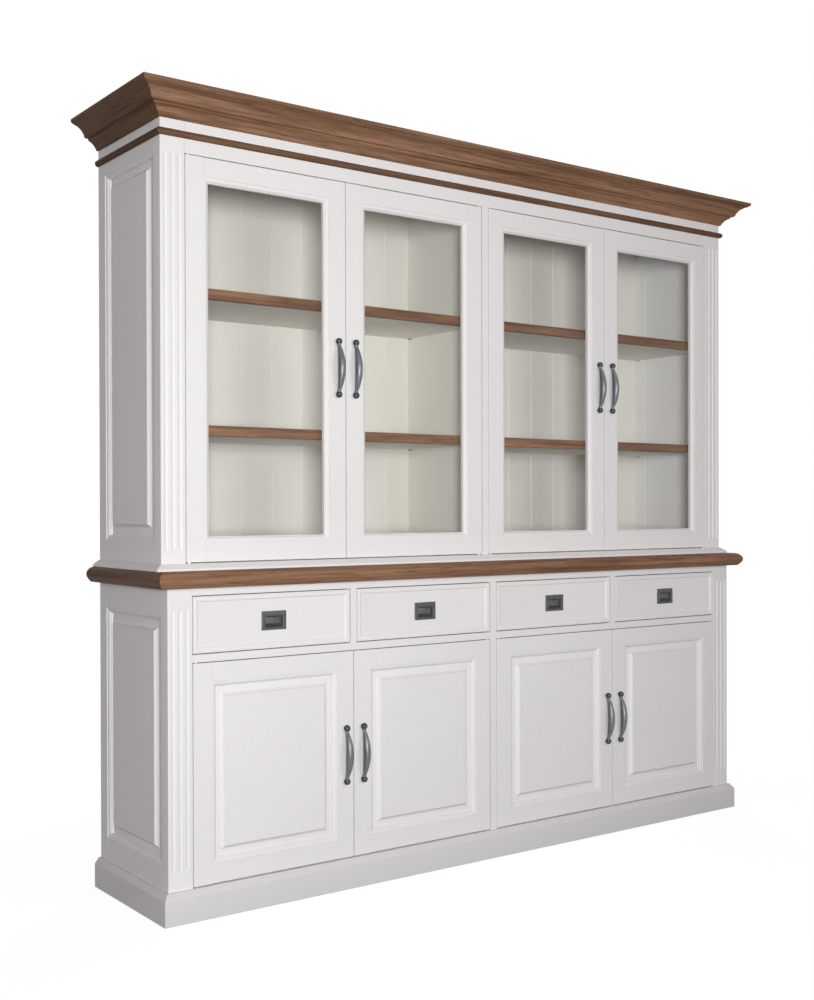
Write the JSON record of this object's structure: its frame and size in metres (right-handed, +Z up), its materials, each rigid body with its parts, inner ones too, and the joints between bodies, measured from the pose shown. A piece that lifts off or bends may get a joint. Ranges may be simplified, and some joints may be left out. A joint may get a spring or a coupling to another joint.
{
  "type": "hutch",
  "caption": "Wide painted hutch: glazed upper doors over a stained counter with drawers and panelled doors below, fluted pilasters, a stained cornice and dark bow handles.",
  "frame": {"origin": "middle of the footprint's bounding box at floor level", "axes": "+X to the right seen from the front, +Y to the back, +Z up; the doors and drawers face -Y"},
  "size_m": [2.496, 0.51, 2.3],
  "materials": {
    "white_paint": "satin painted",
    "stained_oak": "satin stained",
    "clear_glass": "clear polished",
    "pewter": "dark satin",
    "steel": "satin",
    "raw_wood": "matt bare wood"
  },
  "bodies": {
    "carcass": {"plinth": "white_paint", "side_frames": "white_paint", "side_panels": "white_paint", "pilasters": "white_paint", "face_frames": "white_paint", "floors_and_top": "white_paint", "partitions": "white_paint", "drawer_runners": "raw_wood", "shelves": "white_paint", "shelf_lippings": "stained_oak", "shelf_pins": "steel", "back_boards": "white_paint", "counter_top": "stained_oak", "counter_edging": "stained_oak", "upper_base_moulding": "white_paint", "bead_moulding": "stained_oak", "cornice": "stained_oak", "hinge_pins": "steel", "door_stops": "white_paint"},
    "upper_door_1": {"upper_door_1_frame": "white_paint", "upper_door_1_glass": "clear_glass", "upper_door_1_handle": "pewter"},
    "upper_door_2": {"upper_door_2_frame": "white_paint", "upper_door_2_glass": "clear_glass", "upper_door_2_handle": "pewter"},
    "upper_door_3": {"upper_door_3_frame": "white_paint", "upper_door_3_glass": "clear_glass", "upper_door_3_handle": "pewter"},
    "upper_door_4": {"upper_door_4_frame": "white_paint", "upper_door_4_glass": "clear_glass", "upper_door_4_handle": "pewter"},
    "lower_door_1": {"lower_door_1_frame": "white_paint", "lower_door_1_panel": "white_paint", "lower_door_1_handle": "pewter"},
    "lower_door_2": {"lower_door_2_frame": "white_paint", "lower_door_2_panel": "white_paint", "lower_door_2_handle": "pewter"},
    "lower_door_3": {"lower_door_3_frame": "white_paint", "lower_door_3_panel": "white_paint", "lower_door_3_handle": "pewter"},
    "lower_door_4": {"lower_door_4_frame": "white_paint", "lower_door_4_panel": "white_paint", "lower_door_4_handle": "pewter"},
    "drawer_1": {"drawer_1_front": "white_paint", "drawer_1_box": "raw_wood", "drawer_1_pull": "pewter"},
    "drawer_1_bail": {"drawer_1_bail": "pewter"},
    "drawer_2": {"drawer_2_front": "white_paint", "drawer_2_box": "raw_wood", "drawer_2_pull": "pewter"},
    "drawer_2_bail": {"drawer_2_bail": "pewter"},
    "drawer_3": {"drawer_3_front": "white_paint", "drawer_3_box": "raw_wood", "drawer_3_pull": "pewter"},
    "drawer_3_bail": {"drawer_3_bail": "pewter"},
    "drawer_4": {"drawer_4_front": "white_paint", "drawer_4_box": "raw_wood", "drawer_4_pull": "pewter"},
    "drawer_4_bail": {"drawer_4_bail": "pewter"}
  },
  "joints": [
    {"name": "upper_door_1_hinge", "type": "hinge", "parent": "carcass", "child": "upper_door_1", "pos_m": [-1.075, -0.1635, 1.55875], "axis": [0, 0, -1], "range_deg": [0, 110]},
    {"name": "upper_door_2_hinge", "type": "hinge", "parent": "carcass", "child": "upper_door_2", "pos_m": [-0.025, -0.1635, 1.55875], "axis": [0, 0, 1], "range_deg": [0, 85]},
    {"name": "upper_door_3_hinge", "type": "hinge", "parent": "carcass", "child": "upper_door_3", "pos_m": [0.025, -0.1635, 1.55875], "axis": [0, 0, -1], "range_deg": [0, 85]},
    {"name": "upper_door_4_hinge", "type": "hinge", "parent": "carcass", "child": "upper_door_4", "pos_m": [1.075, -0.1635, 1.55875], "axis": [0, 0, 1], "range_deg": [0, 110]},
    {"name": "lower_door_1_hinge", "type": "hinge", "parent": "carcass", "child": "lower_door_1", "pos_m": [-1.075, -0.2015, 0.40075], "axis": [0, 0, -1], "range_deg": [0, 110]},
    {"name": "lower_door_2_hinge", "type": "hinge", "parent": "carcass", "child": "lower_door_2", "pos_m": [-0.025, -0.2015, 0.40075], "axis": [0, 0, 1], "range_deg": [0, 85]},
    {"name": "lower_door_3_hinge", "type": "hinge", "parent": "carcass", "child": "lower_door_3", "pos_m": [0.025, -0.2015, 0.40075], "axis": [0, 0, -1], "range_deg": [0, 85]},
    {"name": "lower_door_4_hinge", "type": "hinge", "parent": "carcass", "child": "lower_door_4", "pos_m": [1.075, -0.2015, 0.40075], "axis": [0, 0, 1], "range_deg": [0, 110]},
    {"name": "drawer_1_slide", "type": "slide", "parent": "carcass", "child": "drawer_1", "axis": [0, -1, 0], "range_m": [0, 0.33]},
    {"name": "drawer_1_bail_swing", "type": "hinge", "parent": "drawer_1", "child": "drawer_1_bail", "pos_m": [-0.824, -0.198, 0.8245], "axis": [-1, 0, 0], "range_deg": [0, 80]},
    {"name": "drawer_2_slide", "type": "slide", "parent": "carcass", "child": "drawer_2", "axis": [0, -1, 0], "range_m": [0, 0.33]},
    {"name": "drawer_2_bail_swing", "type": "hinge", "parent": "drawer_2", "child": "drawer_2_bail", "pos_m": [-0.276, -0.198, 0.8245], "axis": [-1, 0, 0], "range_deg": [0, 80]},
    {"name": "drawer_3_slide", "type": "slide", "parent": "carcass", "child": "drawer_3", "axis": [0, -1, 0], "range_m": [0, 0.33]},
    {"name": "drawer_3_bail_swing", "type": "hinge", "parent": "drawer_3", "child": "drawer_3_bail", "pos_m": [0.276, -0.198, 0.8245], "axis": [-1, 0, 0], "range_deg": [0, 80]},
    {"name": "drawer_4_slide", "type": "slide", "parent": "carcass", "child": "drawer_4", "axis": [0, -1, 0], "range_m": [0, 0.33]},
    {"name": "drawer_4_bail_swing", "type": "hinge", "parent": "drawer_4", "child": "drawer_4_bail", "pos_m": [0.824, -0.198, 0.8245], "axis": [-1, 0, 0], "range_deg": [0, 80]}
  ]
}
